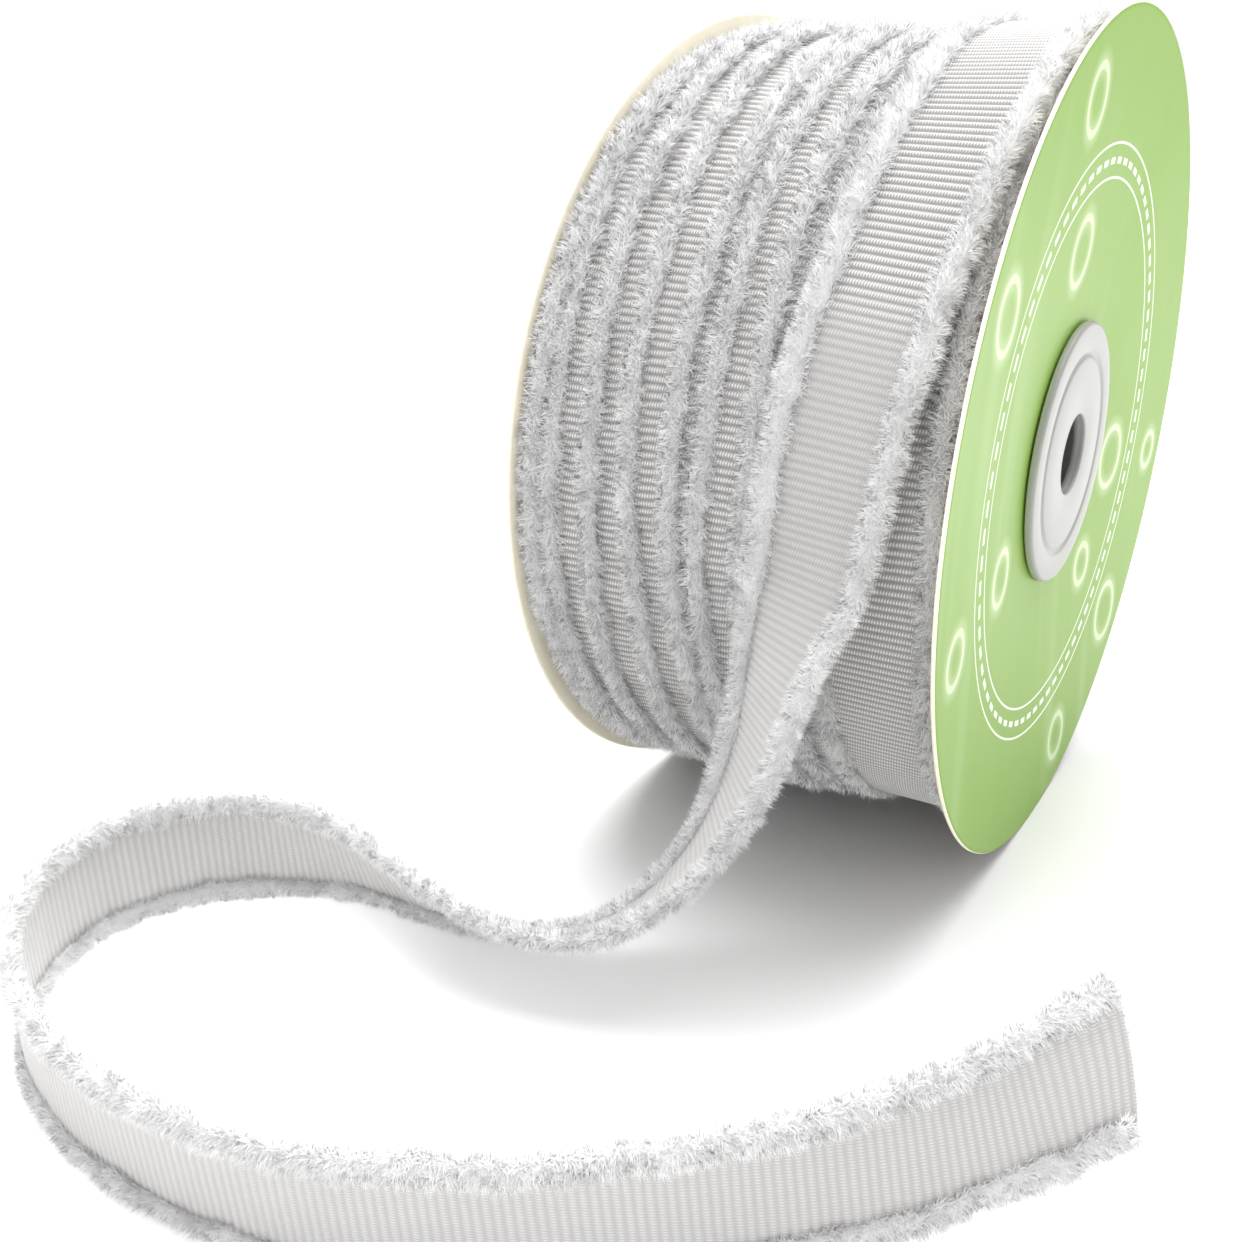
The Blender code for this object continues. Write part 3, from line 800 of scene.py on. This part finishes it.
# Woven colours: painted shade in the rib valleys, a painted highlight on the crests, and the wound turns
# painted darker than the free end
WOVEN_VALLEY_SHADED = (0.29, 0.277, 0.273)
WOVEN_CREST_LIT = ((0.83, 0.815, 0.81), (0.91, 0.895, 0.89))
WOVEN_LIGHT_CONTRAST = (1.0, 0.35)  # between valley and crest, wound and hanging free
WOVEN_MEAN_LIGHT = (0.22, 0.41)  # share of the crest's colour that the contrast is about
WOVEN_MEAN_OVER = 30.0  # length over which it changes after the peel, in mm
PRINT_GREEN = ((0.210, 0.368, 0.060), (0.252, 0.394, 0.088))
PRINT_STREAK = (0.39, 0.54, 0.24)
PRINT_BUBBLE = (0.62, 0.72, 0.46)
PRINT_STITCH = (0.84, 0.87, 0.78)
PRINT_RIM_SHADE = (0.20, 0.36, 0.04)
CARD_CREAM = ((0.88, 0.81, 0.65), (0.95, 0.90, 0.75))
HUB_FACE = (0.32, 0.32, 0.303)
HUB_INSIDE_LIT = (0.62, 0.62, 0.60)
DASH_RADIUS = 34.5 * MM
DASH_COUNT = 72
DASH_SHARE = 0.6  # share of the ring that the dashes fill
THIN_RINGS = (-1.9 * MM, 1.9 * MM)  # where the thin rings run, from the dashes
BUBBLES = (
    # y and z of the middle from the spool's axis, and the radius, in mm
    (30.0, -31.0, 4.2),
    (43.5, -9.0, 2.6),
    (-37.0, 22.0, 3.6),
    (-42.0, -12.0, 3.0),
    (9.0, -43.0, 3.2),
    (-14.0, 41.0, 3.4),
    (24.5, -6.0, 4.2),
    (16.0, -19.5, 2.8),
    (-7.0, 25.0, 3.8),
    (-24.0, -9.0, 3.2),
)


def principled(name, colour, roughness):
    material = bpy.data.materials.new(name)
    material.use_nodes = True
    tree = material.node_tree
    shader = tree.nodes["Principled BSDF"]
    shader.inputs["Base Color"].default_value = (*colour, 1.0)
    shader.inputs["Roughness"].default_value = roughness
    return material, tree, shader


def fill_socket(tree, socket, value):
    """Link a socket to another node's output, or set it to a number or a colour."""
    if isinstance(value, bpy.types.NodeSocket):
        tree.links.new(value, socket)
    elif isinstance(value, tuple):
        socket.default_value = (*value, 1.0)
    else:
        socket.default_value = value


def math_node(tree, operation, *values):
    node = tree.nodes.new("ShaderNodeMath")
    node.operation = operation
    for socket, value in zip(node.inputs, values):
        fill_socket(tree, socket, value)
    return node.outputs[0]


def mix_colour(tree, share, first, second):
    node = tree.nodes.new("ShaderNodeMix")
    node.data_type = "RGBA"
    for i, value in ((0, share), (6, first), (7, second)):
        fill_socket(tree, node.inputs[i], value)
    return node.outputs[2]


def noise_node(tree, vector, scale, detail=3.0):
    node = tree.nodes.new("ShaderNodeTexNoise")
    node.inputs["Scale"].default_value = scale
    node.inputs["Detail"].default_value = detail
    tree.links.new(vector, node.inputs["Vector"])
    return node.outputs["Fac"]


def bump(tree, shader, height, distance):
    node = tree.nodes.new("ShaderNodeBump")
    node.inputs["Strength"].default_value = 1.0
    node.inputs["Distance"].default_value = distance
    tree.links.new(height, node.inputs["Height"])
    tree.links.new(node.outputs["Normal"], shader.inputs["Normal"])


def map_range(tree, value, low, high, first=0.0, last=1.0):
    """Smooth step from the first value at low to the last one at high."""
    node = tree.nodes.new("ShaderNodeMapRange")
    node.interpolation_type = "SMOOTHSTEP"
    tree.links.new(value, node.inputs["Value"])
    for name, number in (("From Min", low), ("From Max", high), ("To Min", first), ("To Max", last)):
        node.inputs[name].default_value = number
    return node.outputs["Result"]


def separate(tree, vector):
    node = tree.nodes.new("ShaderNodeSeparateXYZ")
    tree.links.new(vector, node.inputs[0])
    return node.outputs


def object_place(tree):
    return tree.nodes.new("ShaderNodeTexCoord").outputs["Object"]


def pattern_place(tree):
    """The two values that a piece's pattern layer holds at each point."""
    pattern = tree.nodes.new("ShaderNodeUVMap")
    pattern.uv_map = "pattern"
    return separate(tree, pattern.outputs["UV"])[:2]


def fuzz_material():
    """White fibres, each a little different, darkened with painted shade at the root and where it stands
    deep.
    """
    material, tree, shader = principled("fuzz", (0.86, 0.865, 0.87), 0.85)
    shade, light = pattern_place(tree)
    # painted shade and painted light of each fibre, mixed by its painted light value
    painted_depth = mix_colour(tree, shade, *FUZZ_SHADED)
    lit_tone = mix_colour(tree, shade, *FUZZ_LIT)
    tree.links.new(mix_colour(tree, light, painted_depth, lit_tone), shader.inputs["Base Color"])
    shader.inputs["Sheen Weight"].default_value = 1.0
    shader.inputs["Sheen Roughness"].default_value = 0.4
    return material


def core_material(name, dark, bright):
    """What shows between the fibres: the same yarn, darkened with painted shade from them."""
    material, tree, shader = principled(name, (bright, bright, bright), 0.95)
    patch = noise_node(tree, object_place(tree), 3500.0, 2.0)
    colour = mix_colour(tree, patch, (dark, dark, dark), (bright, bright, bright))
    tree.links.new(colour, shader.inputs["Base Color"])
    bump(tree, shader, patch, 0.2 * MM)
    return material


def warp_threads(tree, across, ribs):
    """Fine threads across the ribs, each rib's half a thread further on than the last one's."""
    offset = math_node(tree, "MULTIPLY", ribs, 0.5)
    threads = math_node(tree, "MULTIPLY_ADD", across, MM / WARP_PITCH, offset)
    wave = math_node(tree, "COSINE", math_node(tree, "MULTIPLY", threads, math.tau))
    return math_node(tree, "MULTIPLY_ADD", wave, 0.5, 0.5)


def woven_material(peel_at):
    """Ribs in fine warp threads: a painted highlight along each crest, dotted by the threads, and painted
    shade in the valleys, both fainter where the ribbon hangs free.
    """
    material, tree, shader = principled("woven", (0.76, 0.74, 0.735), 0.45)
    across, along = pattern_place(tree)
    ribs = math_node(tree, "DIVIDE", along, RIB_PITCH / MM)
    thread = warp_threads(tree, across, ribs)
    half_turns = math_node(tree, "MULTIPLY", ribs, math.pi)
    crest = math_node(tree, "ABSOLUTE", math_node(tree, "SINE", half_turns))
    patch = noise_node(tree, object_place(tree), 260.0)
    bright = mix_colour(tree, patch, *WOVEN_CREST_LIT)
    # painted highlight along the crests, broken into dots by the real warp threads
    line = math_node(tree, "MULTIPLY", crest, crest)
    shade = math_node(tree, "MULTIPLY", line, math_node(tree, "MULTIPLY_ADD", thread, 0.9, 0.1))
    flat_from = (peel_at + RIB_FADE_UP_TO) / MM
    # the painted highlight and shade fade where the ribbon hangs free, and the free end is painted lighter
    light_contrast = map_range(tree, along, flat_from - RIB_FADE / MM, flat_from, *WOVEN_LIGHT_CONTRAST)
    mean_light = map_range(tree, along, peel_at / MM, peel_at / MM + WOVEN_MEAN_OVER, *WOVEN_MEAN_LIGHT)
    off_mean = math_node(tree, "SUBTRACT", shade, mean_light)
    shade = math_node(tree, "MULTIPLY_ADD", light_contrast, off_mean, mean_light)
    tree.links.new(mix_colour(tree, shade, WOVEN_VALLEY_SHADED, bright), shader.inputs["Base Color"])
    bump(tree, shader, math_node(tree, "MULTIPLY", thread, crest), 0.04 * MM)
    shader.inputs["Sheen Weight"].default_value = 0.35
    return material


def disc_place(tree, axes=(1, 2)):
    """Place in a plane from the middle of the spool: along two axes, and the distance."""
    place = separate(tree, object_place(tree))
    first, second = (math_node(tree, "SUBTRACT", place[i], float(SPOOL[i])) for i in axes)
    return first, second, distance_from(tree, first, second, 0.0, 0.0)


def distance_from(tree, y, z, centre_y, centre_z):
    across = math_node(tree, "SUBTRACT", y, centre_y)
    up = math_node(tree, "SUBTRACT", z, centre_z)
    up_square = math_node(tree, "MULTIPLY", up, up)
    return math_node(tree, "SQRT", math_node(tree, "MULTIPLY_ADD", across, across, up_square))


def ring_line(tree, distance, radius, half_width, softness):
    """Share of a circle's line at a distance from its centre."""
    off = math_node(tree, "ABSOLUTE", math_node(tree, "SUBTRACT", distance, radius))
    return map_range(tree, off, half_width, half_width + softness, 1.0, 0.0)


def stitches(tree, y, z, distance):
    """Two thin rings and a ring of short dashes between them."""
    turned = math_node(tree, "ARCTAN2", z, y)
    part = math_node(tree, "FRACT", math_node(tree, "MULTIPLY", turned, DASH_COUNT / math.tau))
    dash = math_node(tree, "LESS_THAN", part, DASH_SHARE)
    line = ring_line(tree, distance, DASH_RADIUS, 0.30 * MM, 0.12 * MM)
    total = math_node(tree, "MULTIPLY", dash, line)
    for offset in THIN_RINGS:
        thin = ring_line(tree, distance, DASH_RADIUS + offset, 0.08 * MM, 0.1 * MM)
        total = math_node(tree, "MAXIMUM", total, thin)
    return total


def bubbles(tree, y, z):
    """Large pale rings with a soft glow."""
    total = 0.0
    for centre_y, centre_z, radius in BUBBLES:
        distance = distance_from(tree, y, z, centre_y * MM, centre_z * MM)
        line = ring_line(tree, distance, radius * MM, 0.3 * MM, 0.3 * MM)
        glow = ring_line(tree, distance, radius * MM, 0.2 * MM, 2.0 * MM)
        both = math_node(tree, "MULTIPLY_ADD", glow, 0.35, math_node(tree, "MULTIPLY", line, 0.55))
        total = math_node(tree, "MAXIMUM", both, total)
    return total


def streaks(tree):
    """Soft long streaks over the print."""
    turn = tree.nodes.new("ShaderNodeMapping")
    tree.links.new(object_place(tree), turn.inputs["Vector"])
    turn.inputs["Rotation"].default_value = (math.radians(14.0), 0.0, 0.0)
    turn.inputs["Scale"].default_value = (1.0, 1.0, 0.09)
    return map_range(tree, noise_node(tree, turn.outputs[0], 95.0, 2.0), 0.5, 0.75)


def print_material():
    """Light green print with rings and streaks in paler greens, and a thin darker line of painted shade round
    by the rim, where the card's edge rounds over.
    """
    material, tree, shader = principled("card_print", (0.38, 0.60, 0.24), 0.48)
    y, z, distance = disc_place(tree)
    patch = noise_node(tree, object_place(tree), 35.0)
    colour = mix_colour(tree, patch, *PRINT_GREEN)
    streak = math_node(tree, "MULTIPLY", streaks(tree), 0.35)
    colour = mix_colour(tree, streak, colour, PRINT_STREAK)
    colour = mix_colour(tree, bubbles(tree, y, z), colour, PRINT_BUBBLE)
    colour = mix_colour(tree, stitches(tree, y, z, distance), colour, PRINT_STITCH)
    # painted shade of the rounded rim
    rim_shade = map_range(tree, distance, FLANGE_RADIUS - 0.55 * MM, FLANGE_RADIUS - 0.25 * MM)
    tree.links.new(mix_colour(tree, rim_shade, colour, PRINT_RIM_SHADE), shader.inputs["Base Color"])
    bump(tree, shader, patch, 0.5 * MM)
    shader.inputs["Specular IOR Level"].default_value = 0.28
    return material


def card_material():
    """Plain cream card, on the inner faces and the cut edge."""
    material, tree, shader = principled("card_inside", (0.86, 0.80, 0.62), 0.75)
    patch = noise_node(tree, object_place(tree), 700.0, 4.0)
    tree.links.new(mix_colour(tree, patch, *CARD_CREAM), shader.inputs["Base Color"])
    bump(tree, shader, patch, 0.03 * MM)
    return material


def hub_material():
    """Off-white plastic, with painted light inside the bore and on the collar's side, from a millimetre in
    from the end faces.
    """
    material, tree, shader = principled("hub_plastic", HUB_FACE, 0.38)
    place = object_place(tree)
    patch = noise_node(tree, place, 300.0)
    from_middle = math_node(tree, "SUBTRACT", separate(tree, place)[0], float(SPOOL[0]))
    off = math_node(tree, "ABSOLUTE", from_middle)
    face = HUB_HIGH.x - float(SPOOL[0])
    # painted light: lighter from a millimetre in from the end faces
    painted_depth = map_range(tree, off, face - 0.35 * MM, face - 1.0 * MM)
    tree.links.new(mix_colour(tree, painted_depth, HUB_FACE, HUB_INSIDE_LIT), shader.inputs["Base Color"])
    bump(tree, shader, patch, 0.02 * MM)
    return material


# Camera, floor and light

def make_camera():
    data = bpy.data.cameras.new("camera")
    data.lens = CAMERA_LENS
    data.sensor_width = 36.0
    data.clip_start, data.clip_end = 0.01, 20.0
    camera = new_object("camera", data)
    a, e = math.radians(CAMERA_AZIMUTH), math.radians(CAMERA_ELEVATION)
    back = Vector((math.sin(a) * math.cos(e), -math.cos(a) * math.cos(e), math.sin(e)))
    look = Vector((SPOOL[0], SPOOL[1], 0.0)) + Vector(CAMERA_LOOK)
    camera.location = look + back * CAMERA_DISTANCE
    turn_towards(camera, -back)
    bpy.context.scene.camera = camera


def turn_towards(obj, direction):
    obj.rotation_mode = "QUATERNION"
    obj.rotation_quaternion = direction.to_track_quat("-Z", "Y")


def make_floor():
    size = FLOOR_REACH
    mesh = bpy.data.meshes.new("floor")
    corners = [(-size, -size, 0), (size, -size, 0), (size, size, 0), (-size, size, 0)]
    mesh.from_pydata(corners, [], [(0, 1, 2, 3)])
    floor = new_object("floor", mesh)
    material, tree, shader = principled("floor", (0.75, 0.75, 0.75), 0.8)
    shader.inputs["Emission Color"].default_value = (1.0, 1.0, 1.0, 1.0)
    x, y, _ = disc_place(tree, (0, 1))
    # painted light: the floor's glow
    glow = 0.0
    for centre_x, centre_y, near, far, inside, outside in FLOOR_GLOWS:
        distance = distance_from(tree, x, y, centre_x, centre_y)
        glow = math_node(tree, "ADD", map_range(tree, distance, near, far, inside, outside), glow)
    tree.links.new(glow, shader.inputs["Emission Strength"])
    mesh.materials.append(material)
    floor.location.z = -FLOOR_DROP


def area_light(name, place, size, power):
    data = bpy.data.lights.new(name, "AREA")
    data.shape = "RECTANGLE"
    data.size, data.size_y = size
    data.energy = power
    light = new_object(name, data)
    light.location = place
    turn_towards(light, Vector(LIGHT_AIM) - Vector(place))


def make_light():
    scene = bpy.context.scene
    world = bpy.data.worlds.new("studio")
    world.use_nodes = True
    tree = world.node_tree
    background = tree.nodes["Background"]
    direction = tree.nodes.new("ShaderNodeTexCoord").outputs["Generated"]
    upward = separate(tree, direction)[2]
    strength = map_range(tree, upward, *WORLD_RISE, WORLD_HORIZON, WORLD_TOP)
    tree.links.new(strength, background.inputs["Strength"])
    background.inputs["Color"].default_value = (1.0, 1.0, 1.0, 1.0)
    scene.world = world
    scene.view_settings.view_transform = "Standard"
    area_light("key", KEY_PLACE, KEY_SIZE, KEY_POWER)
    area_light("fill", FILL_PLACE, FILL_SIZE, FILL_POWER)


def dress_ribbon():
    """The wound turns, the loose end and the plain ring under them."""
    ribbon = Ribbon()
    woven, fuzz = woven_material(ribbon.peel_at), fuzz_material()
    # the same yarn in two painted copies: deeper painted shade on the roll, lighter along the loose end
    shaded_yarn, lit_yarn = core_material("yarn_shaded", 0.42, 0.74), core_material("yarn_lit", 0.70, 0.92)
    finer_from = ribbon.place_of(360.0 * (LAST_TURN - 1) + LOOSE_FROM)
    covered_to = ribbon.place_of(360.0 * (LAST_TURN - 2) + UNCOVERED_FROM)
    wound = wound_band(ribbon, woven, finer_from + RIB_PITCH)
    loose = loose_band(ribbon, woven, finer_from)
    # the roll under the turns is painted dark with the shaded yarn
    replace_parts(under_turns(shaded_yarn), "ribbon_roll")
    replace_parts(loose, "ribbon_tail")
    wound_edges = [(-1, 0.0, finer_from), (1, covered_to, finer_from)]
    loose_edges = [(side, finer_from, ribbon.length) for side in (-1, 1)]
    wound_core = fuzz_core(ribbon, "core_wound", shaded_yarn, wound_edges)
    loose_core = fuzz_core(ribbon, "core_loose", lit_yarn, loose_edges)
    wound_fuzz = wound_fibres(ribbon, fuzz, covered_to, finer_from)
    loose_fuzz = loose_fibres(ribbon, fuzz, finer_from)
    cut_threads(ribbon, fuzz)


def dress_spool():
    """Both card flanges and the hub."""
    printed, card = print_material(), card_material()
    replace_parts(card_flange("card_right", 1, printed, card), "flange_right")
    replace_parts(card_flange("card_left", -1, printed, card), "flange_left")
    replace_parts(hub_shell(hub_material()), "hub")


def main():
    make_camera()
    make_floor()
    make_light()
    dress_ribbon()
    dress_spool()


main()
